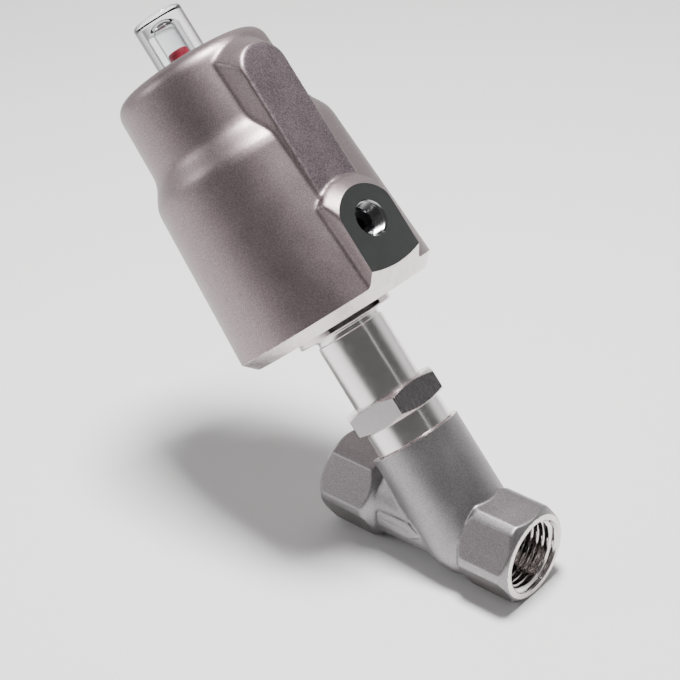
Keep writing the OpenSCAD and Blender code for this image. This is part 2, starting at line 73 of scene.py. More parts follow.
# The frames that pieces are built in: Z along the valve axis with X towards the pilot port, Z along the pipe
# with X down, and Z out of the body's front with X along the pipe
VALVE = frame_matrix(PORT_DIR, Y_DIR, VALVE_DIR, AXIS_ORIGIN)
PIPE = frame_matrix(-Z_DIR, Y_DIR, X_DIR)
FLANK = frame_matrix(X_DIR, Z_DIR, -Y_DIR)


def pipe_end(is_outlet):
    """The pipe's frame with Z running inwards from the inlet's face or from the outlet's."""
    if not is_outlet:
        return PIPE
    return PIPE @ Matrix.Translation((0, 0, FACE_TO_FACE)) @ Matrix.Scale(-1, 4, (0, 0, 1))


# Stations along the valve axis, and the distance of two flat faces from it. All sizes are in millimetres.
NECK_S, COLLAR_TOP_S, NUT_TOP_S, HUB_S = 29.0, 36.0, 43.0, 64.3
RING_LOW_S, COVER_LOW_S, COVER_TOP_S = FOOT_S + 2.8, FOOT_S + 4.3, FOOT_S + 11.1
PORT_S = 84.7
WIDE_TOP_S, SHOULDER_S, TOP_S = 116.3, 122.5, 145.5
CROWN_S = TOP_S - 3.4
SPRING_LOW_S, SPRING_TOP_S = FOOT_S + 25.1, CROWN_S - 1.2
PAD_FACE, RIB_FACE = 31.5, 27.8


# Mesh helpers

ROUND_STEP = math.radians(15)
NEARLY_STRAIGHT = math.pi - 0.02
LARGEST_SHARE = 0.45
SHARP_ANGLE = math.radians(35)
FACE_SIZE_WEIGHT = 80


def to_object(name, bm, matrix):
    """Turns a bmesh in millimetres into an object whose vertices are in metres in the shared frame."""
    bm.transform(matrix)
    bmesh.ops.recalc_face_normals(bm, faces=bm.faces)
    mesh = bpy.data.meshes.new(name)
    bm.to_mesh(mesh)
    bm.free()
    obj = bpy.data.objects.new(name, mesh)
    bpy.context.scene.collection.objects.link(obj)
    return obj


def fillet(points, radius):
    """The closed outline with rounded corners. radius is one value, or a list with one for each point."""
    count = len(points)
    radii = radius if isinstance(radius, list) else [radius] * count
    out = []
    for i, here in enumerate(points):
        corner, before, after = Vector(here), Vector(points[i - 1]), Vector(points[(i + 1) % count])
        u, v = before - corner, after - corner
        turn = u.angle(v)
        if radii[i] <= 0 or turn > NEARLY_STRAIGHT:
            out.append(corner)
            continue
        back = min(radii[i] / math.tan(turn / 2), LARGEST_SHARE * u.length, LARGEST_SHARE * v.length)
        fitting = back * math.tan(turn / 2)
        u.normalize()
        v.normalize()
        centre = corner + (u + v).normalized() * (fitting / math.sin(turn / 2))
        start, end = corner + u * back - centre, corner + v * back - centre
        sweep = start.angle_signed(end)
        steps = max(2, round(abs(sweep) / ROUND_STEP))
        for k in range(steps + 1):
            t = -sweep * k / steps
            c, s = math.cos(t), math.sin(t)
            out.append(centre + Vector((start.x * c - start.y * s, start.x * s + start.y * c)))
    return out


def quarter(radius, centre_z, side):
    """Quarter circle from the axis outwards, above its centre (side 1) or below it (side -1)."""
    angles = [math.radians(7.5 * k) for k in range(13)]
    return [(radius * math.sin(a), centre_z + side * radius * math.cos(a)) for a in angles]


def groove(surface_r, floor_r, start, end):
    """The four points of a square groove in an outline, from one station to another."""
    return [(surface_r, start), (floor_r, start), (floor_r, end), (surface_r, end)]


def ring_points(radius, count):
    return [(radius * math.cos(TAU * k / count), radius * math.sin(TAU * k / count)) for k in range(count)]


def revolve(name, outline, matrix, segments=144):
    """Solid of revolution about Z. The outline holds (radius, z) points; radius 0 lies on the axis."""
    bm = bmesh.new()
    rings = []
    for r, z in outline:
        around = ring_points(r, segments) if r > 1e-6 else [(0, 0)]
        rings.append([bm.verts.new((x, y, z)) for x, y in around])
    for i, low in enumerate(rings):
        high = rings[(i + 1) % len(rings)]
        for k in range(segments):
            j = (k + 1) % segments
            corners = [low[k % len(low)], low[j % len(low)], high[j % len(high)], high[k % len(high)]]
            unique = list(dict.fromkeys(corners))
            if len(unique) > 2:
                bm.faces.new(unique)
    return to_object(name, bm, matrix)


def drum(name, radius, low, high, matrix, segments):
    return revolve(name, [(0, low), (radius, low), (radius, high), (0, high)], matrix, segments)


def skin(bm, rings):
    """Joins rings of as many vertices into a closed tube with flat ends."""
    around = len(rings[0])
    for low, high in zip(rings, rings[1:]):
        for k in range(around):
            j = (k + 1) % around
            bm.faces.new([low[k], low[j], high[j], high[k]])
    bm.faces.new(rings[0][::-1])
    bm.faces.new(rings[-1])


def prism(name, outline, low, high, matrix):
    """Extrudes a closed XY outline from low to high along Z."""
    bm = bmesh.new()
    skin(bm, [[bm.verts.new((x, y, z)) for x, y in outline] for z in (low, high)])
    return to_object(name, bm, matrix)


def block(name, x_low, x_high, half_y, low, high, matrix):
    """Box that reaches half_y to both sides of the XZ plane."""
    outline = [(x_low, -half_y), (x_high, -half_y), (x_high, half_y), (x_low, half_y)]
    return prism(name, outline, low, high, matrix)


def apply_modifiers(obj):
    deps = bpy.context.evaluated_depsgraph_get()
    mesh = bpy.data.meshes.new_from_object(obj.evaluated_get(deps))
    old = obj.data
    obj.modifiers.clear()
    obj.data = mesh
    bpy.data.meshes.remove(old)


def combine(obj, others, operation):
    """Applies a boolean of each other solid to obj and removes those solids."""
    for other in others:
        mod = obj.modifiers.new("combine", "BOOLEAN")
        mod.operation = operation
        mod.solver = "MANIFOLD"
        mod.object = other
        apply_modifiers(obj)
        bpy.data.objects.remove(other)
    return obj


def join(obj, *others):
    return combine(obj, others, "UNION")


def cut(obj, *others):
    return combine(obj, others, "DIFFERENCE")


def keep_common(obj, *others):
    return combine(obj, others, "INTERSECT")


def cast(obj, voxel, rounds):
    """Gives a solid the soft edges of a casting: rebuilds it on a fine grid and relaxes the grid."""
    mod = obj.modifiers.new("grid", "REMESH")
    mod.mode = "VOXEL"
    mod.voxel_size = voxel * MM
    mod = obj.modifiers.new("relax", "SMOOTH")
    mod.factor = 0.5
    mod.iterations = rounds
    apply_modifiers(obj)


def shade(obj):
    """Smooth shading with sharp edges kept. Large faces rule the normals, so that cut casts stay even."""
    for poly in obj.data.polygons:
        poly.use_smooth = True
    obj.data.set_sharp_from_angle(angle=SHARP_ANGLE)
    even = obj.modifiers.new("even_normals", "WEIGHTED_NORMAL")
    even.keep_sharp = True
    even.weight = FACE_SIZE_WEIGHT
    apply_modifiers(obj)


# Female threads: radii, pitch and depth, and the chamfer at the mouth

PIPE_THREAD = {"major": 10.45, "minor": 9.32, "pitch": 1.814, "length": 14.0}
PORT_THREAD = {"major": 4.82, "minor": 4.3, "pitch": 0.907, "length": 5.5}
THREAD_LEAD, MOUTH_EXTRA, MOUTH_SLOPE = 1.0, 0.12, 0.7
THREAD_AROUND, THREAD_PER_PITCH = 72, 8
RIDGE_TOP, RIDGE_SLOPE = 1.25, 1.5


def thread_form(name, major, minor, pitch, length, matrix):
    """Solid rod that cuts a female thread: flat ridges and roots, a chamfered mouth and a run-out."""
    whole = length + THREAD_LEAD
    rows = round(whole / pitch * THREAD_PER_PITCH)
    bm = bmesh.new()
    rings = []
    for i in range(rows + 1):
        z = -THREAD_LEAD + whole * i / rows
        ring = []
        for k in range(THREAD_AROUND):
            turn = (z / pitch - k / THREAD_AROUND) % 1.0
            ridge = min(1.0, max(0.0, RIDGE_TOP - abs(turn * 2 - 1) * RIDGE_SLOPE))
            r = minor + (major - minor) * ridge
            if z > length - pitch:
                r = minor + (r - minor) * (length - z) / pitch
            r = max(r, major + MOUTH_EXTRA - max(z, 0) * MOUTH_SLOPE)
            angle = TAU * k / THREAD_AROUND
            ring.append(bm.verts.new((r * math.cos(angle), r * math.sin(angle), z)))
        rings.append(ring)
    skin(bm, rings)
    return to_object(name, bm, matrix)


# Materials. Colours are linear; sizes of grain, lines and bumps are in millimetres. A noise seldom leaves its
# middle range, and a wave texture of scale 1 repeats after WAVE_PERIOD metres.

NOISE_LOW, NOISE_HIGH = 0.3, 0.7
WAVE_PERIOD = 0.314
RING_LINES, POLISH_LINES = 0.12, 0.09
# The second glass colour is painted shade that darkens the outlines where the plastic is seen at a slant
GLASS_TINT, GLASS_PAINTED_EDGE_SHADE = (0.93, 0.95, 0.96), (0.04, 0.028, 0.04)


def new_material(name, colour, metallic, roughness):
    mat = bpy.data.materials.new(name)
    mat.use_nodes = True
    shader = mat.node_tree.nodes["Principled BSDF"]
    shader.inputs["Base Color"].default_value = (*colour, 1)
    shader.inputs["Metallic"].default_value = metallic
    shader.inputs["Roughness"].default_value = roughness
    return mat, mat.node_tree, shader


def coordinates(tree, turned=False):
    """Object coordinates in metres, or the same seen from the valve's own frame with Z along its axis."""
    coord = tree.nodes.new("ShaderNodeTexCoord")
    if not turned:
        return coord.outputs["Object"]
    mapping = tree.nodes.new("ShaderNodeMapping")
    mapping.vector_type = "TEXTURE"
    mapping.inputs["Location"].default_value = AXIS_ORIGIN
    mapping.inputs["Rotation"].default_value = VALVE.to_euler()
    tree.links.new(coord.outputs["Object"], mapping.inputs["Vector"])
    return mapping.outputs["Vector"]


def noise_node(tree, where, size, detail, rough=0.55):
    node = tree.nodes.new("ShaderNodeTexNoise")
    node.inputs["Scale"].default_value = 1 / (size * MM)
    node.inputs["Detail"].default_value = detail
    node.inputs["Roughness"].default_value = rough
    tree.links.new(where, node.inputs["Vector"])
    return node.outputs["Fac"]


def wave_node(tree, where, kind, line, distortion):
    """Fine lines round the valve axis, one line apart: BANDS follow each other along it, RINGS outwards."""
    node = tree.nodes.new("ShaderNodeTexWave")
    node.wave_type = kind
    if kind == "RINGS":
        node.rings_direction = "Z"
    else:
        node.bands_direction = "Z"
    node.inputs["Scale"].default_value = WAVE_PERIOD / (line * MM)
    node.inputs["Distortion"].default_value = distortion
    tree.links.new(where, node.inputs["Vector"])
    return node.outputs["Fac"]


def scaled(tree, value, factor, added=None):
    """A socket's value times a factor, plus the value of a second socket if one is given."""
    node = tree.nodes.new("ShaderNodeMath")
    node.operation = "MULTIPLY" if added is None else "MULTIPLY_ADD"
    node.inputs[1].default_value = factor
    tree.links.new(value, node.inputs[0])
    if added is not None:
        tree.links.new(added, node.inputs[2])
    return node.outputs[0]


def ramp(tree, value, stops):
    node = tree.nodes.new("ShaderNodeValToRGB")
    elements = node.color_ramp.elements
    for index, (place, colour) in enumerate(stops):
        element = elements[index] if index < 2 else elements.new(place)
        element.position = place
        element.color = (*colour, 1)
    tree.links.new(value, node.inputs["Fac"])
    return node.outputs["Color"]


def spread(tree, value, low, high):
    """Takes the middle range of a noise to the range from low to high."""
    node = tree.nodes.new("ShaderNodeMapRange")
    node.inputs["From Min"].default_value = NOISE_LOW
    node.inputs["From Max"].default_value = NOISE_HIGH
    node.inputs["To Min"].default_value = low
    node.inputs["To Max"].default_value = high
    tree.links.new(value, node.inputs["Value"])
    return node.outputs["Result"]


def vary(tree, shader, value, colour, rough, darkest, glossiest, dullest, edge=NOISE_LOW):
    """Lets colour and roughness drift with a noise. The last three are shares of colour and roughness."""
    dark = tuple(c * darkest for c in colour)
    tree.links.new(ramp(tree, value, [(edge, dark), (1 - edge, colour)]), shader.inputs["Base Color"])
    tree.links.new(spread(tree, value, rough * glossiest, rough * dullest), shader.inputs["Roughness"])


def bump(tree, height, depth, shader, strength, under=None):
    node = tree.nodes.new("ShaderNodeBump")
    node.inputs["Strength"].default_value = strength
    node.inputs["Distance"].default_value = depth * MM
    tree.links.new(height, node.inputs["Height"])
    if under is not None:
        tree.links.new(under, node.inputs["Normal"])
    tree.links.new(node.outputs["Normal"], shader.inputs["Normal"])
    return node.outputs["Normal"]


def blasted_steel(name, dark, light, rough, grain=0.32, pits=0.02):
    """Cast steel after bead blasting: fine pitted grain over faint cloudy patches and soft waves."""
    mat, tree, shader = new_material(name, light, 1.0, sum(rough) / 2)
    where = coordinates(tree)
    cloud = noise_node(tree, where, 7.0, 5.0)
    fine = noise_node(tree, where, grain, 2.0, 0.5)
    tone = scaled(tree, fine, 0.9, added=scaled(tree, cloud, 0.1))
    tree.links.new(ramp(tree, tone, [(0.34, dark), (0.66, light)]), shader.inputs["Base Color"])
    tree.links.new(spread(tree, cloud, *rough), shader.inputs["Roughness"])
    soft = bump(tree, noise_node(tree, where, 1.8, 2.0), 0.02, shader, 0.4)
    bump(tree, fine, pits, shader, 0.8, under=soft)
    return mat


def turned_steel(name, colour, rough, uneven=1.0):
    """Machined steel with fine rings about the valve axis."""
    mat, tree, shader = new_material(name, colour, 1.0, rough)
    where = coordinates(tree, turned=True)
    bump(tree, wave_node(tree, where, "RINGS", RING_LINES, 0.6), 0.006, shader, 0.6)
    patch = noise_node(tree, where, 3.0, 4.0)
    vary(tree, shader, patch, colour, rough, 1 - 0.14 * uneven, 1 - 0.2 * uneven, 1 + 0.3 * uneven, edge=0.35)
    return mat


def polished_steel(name, colour, rough):
    """Ground and polished steel: mirror-like, with faint lines round the axis."""
    mat, tree, shader = new_material(name, colour, 1.0, rough)
    where = coordinates(tree, turned=True)
    bump(tree, wave_node(tree, where, "BANDS", POLISH_LINES, 1.2), 0.0012, shader, 0.5)
    vary(tree, shader, noise_node(tree, where, 2.2, 5.0), colour, rough, 0.95, 0.9, 1.15)
    return mat


def brushed_steel(name, colour, rough=0.25):
    """Hexagon flats and strip: fine straight lines along the valve axis."""
    mat, tree, shader = new_material(name, colour, 1.0, rough)
    stretch = tree.nodes.new("ShaderNodeMapping")
    stretch.inputs["Scale"].default_value = (1, 1, 0.05)
    tree.links.new(coordinates(tree, turned=True), stretch.inputs["Vector"])
    grain = noise_node(tree, stretch.outputs["Vector"], 0.14, 2.0)
    bump(tree, grain, 0.0015, shader, 0.4)
    vary(tree, shader, grain, colour, rough, 0.96, 0.9, 1.2)
    return mat


def moulded(name, colour, rough, grain=0.4, depth=0.004, sheen=0.0):
    """Moulded or pressed plastic, rubber or sheet with a fine skin."""
    mat, tree, shader = new_material(name, colour, 0.0, rough)
    where = coordinates(tree)
    bump(tree, noise_node(tree, where, grain, 4.0), depth, shader, 0.8)
    vary(tree, shader, noise_node(tree, where, 4.0, 3.0), colour, rough, 0.85, 0.85, 1.2)
    shader.inputs["Sheen Weight"].default_value = sheen
    return mat


def clear_plastic(name):
    """Clear plastic with painted shade: its colour darkens where it is seen at a slant, so that its outlines show
    on a pale ground.
    """
    mat, tree, shader = new_material(name, GLASS_TINT, 0.0, 0.03)
    shader.inputs["Transmission Weight"].default_value = 1.0
    shader.inputs["IOR"].default_value = 1.49
    where = coordinates(tree)
    smear = noise_node(tree, where, 1.5, 3.0)
    tree.links.new(spread(tree, smear, 0.02, 0.06), shader.inputs["Roughness"])
    # Painted shade: the colour darkens towards the outlines, where the plastic is seen at a slant
    grazing = tree.nodes.new("ShaderNodeLayerWeight")
    grazing.inputs["Blend"].default_value = 0.5
    painted_edge_shade = ramp(tree, grazing.outputs["Facing"], [(0.36, GLASS_TINT), (0.62, GLASS_PAINTED_EDGE_SHADE)])
    tree.links.new(painted_edge_shade, shader.inputs["Base Color"])
    bump(tree, noise_node(tree, where, 3.0, 1.0), 0.01, shader, 0.3)
    return mat


def make_materials():
    """Every finish by its short name. A blasted one takes its darkest and lightest colour and roughness."""
    return {
        "housing": blasted_steel("housing_blasted", (0.195, 0.155, 0.160), (0.31, 0.255, 0.263),
                                 (0.40, 0.435)),
        "rib": blasted_steel("channel_blasted", (0.13, 0.107, 0.118), (0.275, 0.228, 0.248), (0.44, 0.50),
                             grain=0.40, pits=0.045),
        "casting": blasted_steel("body_blasted", (0.21, 0.20, 0.207), (0.33, 0.315, 0.325), (0.40, 0.46),
                                 grain=0.3, pits=0.018),
        "flat": blasted_steel("flat_blasted", (0.17, 0.155, 0.158), (0.28, 0.258, 0.265), (0.38, 0.44),
                              grain=0.3, pits=0.012),
        "turned": turned_steel("turned_steel", (0.76, 0.68, 0.68), 0.24),
        # The pilot port's milled face: turned steel darkened to paint the dark reflection it shows
        "port_face": turned_steel("port_face_painted_dark_reflection", (0.22, 0.23, 0.23), 0.25, uneven=0.15),
        "polished": polished_steel("polished_steel", (0.78, 0.75, 0.75), 0.19),
        "hexagon": brushed_steel("hexagon_steel", (0.40, 0.375, 0.39)),
        "bright": polished_steel("bright_thread_steel", (0.70, 0.66, 0.65), 0.16),
        # The pilot port's thread: the bright thread steel darkened to paint the shade inside the hole
        "port_thread": polished_steel("port_thread_painted_shade", (0.34, 0.34, 0.35), 0.14),
        "clip": brushed_steel("spring_strip", (0.30, 0.30, 0.31), 0.35),
        "spring": polished_steel("spring_wire", (0.36, 0.36, 0.37), 0.3),
        "piston": turned_steel("piston_aluminium", (0.74, 0.75, 0.76), 0.32),
        "ptfe": moulded("white_ptfe", (0.86, 0.85, 0.81), 0.5),
        "filled": moulded("filled_ptfe", (0.12, 0.12, 0.125), 0.55),
        "graphite": moulded("graphite_sheet", (0.10, 0.10, 0.105), 0.6),
        "bronze": turned_steel("bearing_bronze", (0.62, 0.43, 0.22), 0.35),
        "rubber": moulded("seal_rubber", (0.025, 0.025, 0.027), 0.6, sheen=0.1),
        "red": moulded("indicator_red", (0.42, 0.012, 0.04), 0.32, grain=0.8, depth=0.002),
        "clear": clear_plastic("clear_plastic"),
    }


MATERIALS = make_materials()


def dress(obj, *names):
    obj.data.materials.clear()
    for name in names:
        obj.data.materials.append(MATERIALS[name])


class Faces:
    """Centres and normals of an object's faces as columns, in millimetres in the frame of the matrix."""

    def __init__(self, obj, matrix):
        polygons = obj.data.polygons
        centre = np.empty(len(polygons) * 3, np.float32)
        normal = np.empty(len(polygons) * 3, np.float32)
        polygons.foreach_get("center", centre)
        polygons.foreach_get("normal", normal)
        inverse = np.array(matrix.inverted())
        turn = inverse[:3, :3] * MM
        self.x, self.y, self.z = (centre.reshape(-1, 3) @ inverse[:3, :3].T + inverse[:3, 3]).T
        self.nx, self.ny, self.nz = (normal.reshape(-1, 3) @ turn.T).T
        self.r = np.hypot(self.x, self.y)
        self.slots = np.zeros(len(polygons), np.int32)

    def paint(self, obj, masks):
        """Gives slot 1, 2, ... to the faces of each mask in turn; the rest keep slot 0."""
        for index, mask in enumerate(masks, 1):
            self.slots[mask] = index
        obj.data.polygons.foreach_set("material_index", self.slots)


def install(obj, body, slot, *replaced):
    shade(obj)
    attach(obj, body)
    if replaced:
        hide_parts(*replaced)


# Actuator housing

FOOT_R, WIDE_TOP_R, HEAD_FOOT_R, HEAD_TOP_R = 29.8, 27.0, 23.3, 22.5
FOOT_CHAMFER, SHOULDER_ROUND, SHOULDER_ROOT, HEAD_ROUND = 3.4, 8.0, 7.0, 4.5
BORE_R, RING_GROOVE_R, HEAD_BORE_R, GLASS_HOLE_R, GLASS_SEAT_R = 25.0, 26.6, 19.8, 5.3, 6.6
DRILLING_R = 2.0
PAD_ROOT = 18.0
RIB_HALF, RIB_END_S, RIB_LEAN, RIB_END_LEAN, RIB_FLARE = 7.5, TOP_S - 14.6, 12, 35, 6.5
PAD_HALF, PAD_END_S, PAD_LEAN, PAD_END_LEAN, PAD_FLARE = 9.35, PORT_S - 0.9, 6, 51, 4.5
FACING = 0.8


def cast_pad(name, face, half, end_s, lean, end_lean, flare):
    """Flat pad up the side of the housing: leaning sides, and a round upper end that flares inwards."""
    depth = face - PAD_ROOT
    across = Matrix.Translation((0, 0, end_s)) @ Matrix.Rotation(math.pi / 2, 4, "Y")
    steep = math.tan(math.radians(end_lean))
    wide = half + min(flare, depth * steep)
    end = [(0, PAD_ROOT), (wide, PAD_ROOT), (wide, face - (wide - half) / steep), (half, face), (0, face)]
    pad = revolve(name, end, VALVE @ across, 96)
    straight = block(name + "_foot", PAD_ROOT, face, 2 * half, FOOT_S, end_s, VALVE)
    root = half + depth * math.tan(math.radians(lean))
    across_sides = [(PAD_ROOT, -root), (face, -half), (face, half), (PAD_ROOT, root)]
    return keep_common(join(pad, straight), prism(name + "_sides", across_sides, FOOT_S, TOP_S, VALVE))


def make_pilot_boss():
    """The boss is cast a little proud and faced off, so its half width is set back by as much."""
    narrow = FACING * math.tan(math.radians(PAD_LEAN))
    return cast_pad("boss", PAD_FACE + FACING, PAD_HALF - narrow, PAD_END_S, PAD_LEAN, PAD_END_LEAN,
                    PAD_FLARE + narrow)


def housing_cutters():
    """The turned chamfer and the bores, the faced pad, and the pilot port with its drilling."""
    edge_r, wide_r = FOOT_R - FOOT_CHAMFER, FOOT_R + 10
    below_s, above_s = FOOT_S - 3, FOOT_S + 10 + FOOT_CHAMFER
    cone = [(edge_r, FOOT_S), (wide_r, above_s), (wide_r, below_s), (edge_r, below_s)]
    bores = [(0, FOOT_S - 4), (BORE_R, FOOT_S - 4), *groove(BORE_R, RING_GROOVE_R, RING_LOW_S, COVER_LOW_S),
             (BORE_R, WIDE_TOP_S - 4), (HEAD_BORE_R, SHOULDER_S - 2.4), (HEAD_BORE_R, CROWN_S),
             (GLASS_HOLE_R, CROWN_S), (GLASS_HOLE_R, TOP_S - 1.2), (GLASS_SEAT_R, TOP_S - 1.2),
             (GLASS_SEAT_R, TOP_S + 2), (0, TOP_S + 2)]
    port = VALVE @ Matrix.Translation((PAD_FACE, 0, PORT_S)) @ Matrix.Rotation(-math.pi / 2, 4, "Y")
    return [revolve("foot_cone", cone, VALVE, 180),
            block("port_face", PAD_FACE, PAD_FACE + 5, 20, FOOT_S - 5, TOP_S, VALVE),
            revolve("bores", bores, VALVE),
            thread_form("port_thread", **PORT_THREAD, matrix=port),
            drum("port_drilling", DRILLING_R, 5, 9, port, 48)]


def paint_housing(shell):
    """Picks the machined faces by the surface they lie on, within some hundredths of a millimetre."""
    f = Faces(shell, VALVE)
    cone = (abs((f.z - FOOT_S) - (f.r - (FOOT_R - FOOT_CHAMFER))) < 0.08) & (f.r > 20)
    inside = (f.r < RING_GROOVE_R + 0.1) & (f.z < WIDE_TOP_S - 3.5) & (f.x < BORE_R + 0.1)
    turned = cone | (abs(f.z - FOOT_S) < 0.05) | inside
    # The milled face of the pilot port, which takes the painted dark reflection
    port_face = (abs(f.x - PAD_FACE) < 0.02) & (f.nx > 0.9)
    channel = (f.nx > 0.93) & (abs(f.x - RIB_FACE) < 0.35) & (abs(f.y) < RIB_HALF) & (f.z > PORT_S)
    # The pilot port's thread, which takes the painted shade of the hole
    in_port = np.hypot(f.y, f.z - PORT_S) < PORT_THREAD["major"] + 0.28
    thread = in_port & (f.x > PAD_FACE - 6) & (f.x < PAD_FACE - 0.02)
    f.paint(shell, [turned, port_face, channel, thread])


def make_housing():
    blank = fillet([(0, FOOT_S), (FOOT_R, FOOT_S), (WIDE_TOP_R, WIDE_TOP_S), (HEAD_FOOT_R, SHOULDER_S),
                    (HEAD_TOP_R, TOP_S), (0, TOP_S)], [0, 0, SHOULDER_ROUND, SHOULDER_ROOT, HEAD_ROUND, 0])
    shell = revolve("actuator_shell", blank, VALVE, 180)
    channel = cast_pad("channel", RIB_FACE, RIB_HALF, RIB_END_S, RIB_LEAN, RIB_END_LEAN, RIB_FLARE)
    join(shell, channel, make_pilot_boss())
    cast(shell, voxel=0.4, rounds=16)
    cut(shell, *housing_cutters())
    dress(shell, "housing", "turned", "port_face", "rib", "port_thread")
    paint_housing(shell)
    install(shell, "actuator", "housing_steel", "actuator_housing")


# Valve body

HEX_HALF, HEX_CORNER_R, HEX_LEN, INLET_EXTRA = 12.5, 13.75, 16.0, 1.3
WAIST_R, NECK_R = 11.5, 13.1
GROUND = -(WAIST_R - 0.8)
SEAT_S, SEAT_WEB, SEAT_LOW, CHAMBER_TOP_S = 4.0, 2.5, -3.2, 21.0
ORIFICE_R, PASSAGE_R, CHAMBER_R, NECK_BORE_R = 6.5, 7.0, 9.5, 10.5
CROSSING = FACE_TO_FACE - 21.0
FLOW_MARK = [(20.5, -2.6), (31.5, -2.8), (36.2, -0.2), (31.5, 2.6), (20.5, 2.1)]
FLOW_GROOVE = [(22.5, -0.5), (31.5, -0.5), (31.5, 0.0), (22.5, 0.1)]
FLOW_MARK_PROUD = 0.55


def hexagon(across_half, turn):
    r = across_half / math.cos(math.pi / 6)
    return [(r * math.cos(TAU * k / 6 + turn), r * math.sin(TAU * k / 6 + turn)) for k in range(6)]


def make_hex_end(is_outlet, length):
    """Hexagon with turned corners at its mouth, which runs out into the pipe behind it."""
    place, rear = pipe_end(is_outlet), length + 2
    bar = prism("hex_bar", hexagon(HEX_HALF, math.radians(30)), 0, rear, place)
    form = fillet([(0, 0), (HEX_HALF - 0.5, 0), (HEX_CORNER_R, 1.9), (HEX_CORNER_R, length - 1),
                   (WAIST_R - 0.4, rear), (0, rear)], [0, 0.3, 0.6, 1.2, 0, 0])
    return keep_common(bar, revolve("hex_form", form, place, 120))


def make_flow_mark():
    """Raised tongue with a groove, cast on the side of the body to show the flow."""
    tongue = prism("flow_mark", fillet(FLOW_MARK, 1.2), 6, WAIST_R + 2, FLANK)
    trench = prism("flow_groove", fillet(FLOW_GROOVE, 0.2), 5, WAIST_R + 3, FLANK)
    keep_common(tongue, drum("flow_level", WAIST_R + FLOW_MARK_PROUD, 10, 45, PIPE, 120))
    return cut(tongue, trench)


def make_ways():
    """Cored ways: the inlet's comes up under the seat, and the outlet's leaves from beside it."""
    inlet = drum("inlet_way", PASSAGE_R, 13, CROSSING, PIPE, 72)
    cut(inlet, block("inlet_limit", -CHAMBER_R, 40, 20, -60, SEAT_S, VALVE))
    outlet = drum("outlet_way", PASSAGE_R, CROSSING - 7, FACE_TO_FACE - 1, PIPE, 72)
    keep_common(outlet, block("outlet_limit", -60, 60, 20, -60, SEAT_S - SEAT_WEB, VALVE))
    return [inlet, outlet]


def flow_cutters():
    """Everything that is machined or cored out of the casting, and the trued end faces."""
    cutters = []
    for is_outlet in (False, True):
        place = pipe_end(is_outlet)
        cutters.append(thread_form("pipe_thread", **PIPE_THREAD, matrix=place))
        cutters.append(drum("face_off", 20, -2, 0.05, place, 96))
    mouth_r = NECK_BORE_R + 0.5
    chamber = [(0, SEAT_LOW), (ORIFICE_R, SEAT_LOW), (ORIFICE_R, SEAT_S), (CHAMBER_R, SEAT_S),
               (CHAMBER_R, CHAMBER_TOP_S), (NECK_BORE_R, CHAMBER_TOP_S), (NECK_BORE_R, NECK_S - 0.5),
               (mouth_r, NECK_S + 0.01), (mouth_r, NECK_S + 3), (0, NECK_S + 3)]
    cutters += [*make_ways(), revolve("chamber", chamber, VALVE, 96),
                drum("neck_face", NECK_R + 1, NECK_S - 0.02, NECK_S + 3, VALVE, 96)]
    return cutters


def paint_body(body):
    """Picks the machined faces and the six flats by where they lie and how they face."""
    f, neck = Faces(body, PIPE), Faces(body, VALVE)
    end_face = (f.z < 0.1) | (f.z > FACE_TO_FACE - 0.1)
    rim = (abs(neck.z - NECK_S) < 0.05) & (neck.r < NECK_R + 0.2)
    thread_end = PIPE_THREAD["length"] + 0.2
    near_end = (f.z < thread_end) | (f.z > FACE_TO_FACE - thread_end)
    thread = (f.r < PIPE_THREAD["major"] + 0.35) & near_end & ~end_face
    flats = []
    for k in range(6):
        c, s = math.cos(TAU * k / 6), math.sin(TAU * k / 6)
        flats.append((f.nx * c + f.ny * s > 0.985) & (f.x * c + f.y * s > HEX_HALF - 0.1))
    f.paint(body, [end_face | rim, thread, np.any(flats, axis=0)])


def make_body():
    body = drum("body_casting", WAIST_R, HEX_LEN - 2, FACE_TO_FACE - HEX_LEN + 2, PIPE, 120)
    blank_s = NECK_S + 2.5
    neck = revolve("neck", quarter(NECK_R, 0, -1) + [(NECK_R, blank_s), (0, blank_s)], VALVE, 120)
    cut(neck, block("slab", -10, 80, 30, -60, GROUND, Matrix.Scale(MM, 4)))
    join(body, neck)
    cast(body, voxel=0.45, rounds=45)
    join(body, make_hex_end(False, HEX_LEN + INLET_EXTRA), make_hex_end(True, HEX_LEN), make_flow_mark())
    cast(body, voxel=0.3, rounds=5)
    cut(body, *flow_cutters())
    dress(body, "casting", "turned", "bright", "flat")
    paint_body(body)
    install(body, "root", "cast_steel", "valve_body")


# Bonnet, tube and hub

COLLAR_R, SPIGOT_R, NUT_HALF, TUBE_R, TUBE_BORE_R, HUB_R = 11.4, 10.45, 13.0, 10.0, 7.5, 14.1
NUT_TURN = math.radians(22)
NUT_BEVEL = 0.18
COVER_R, STEM_HOLE_R, RECESS_R, RECESS_DEPTH = 24.9, 5.1, 22.0, 2.2
CLIP_HALF, CLIP_T, CLIP_TURN = 8.0, 1.1, math.radians(-24)


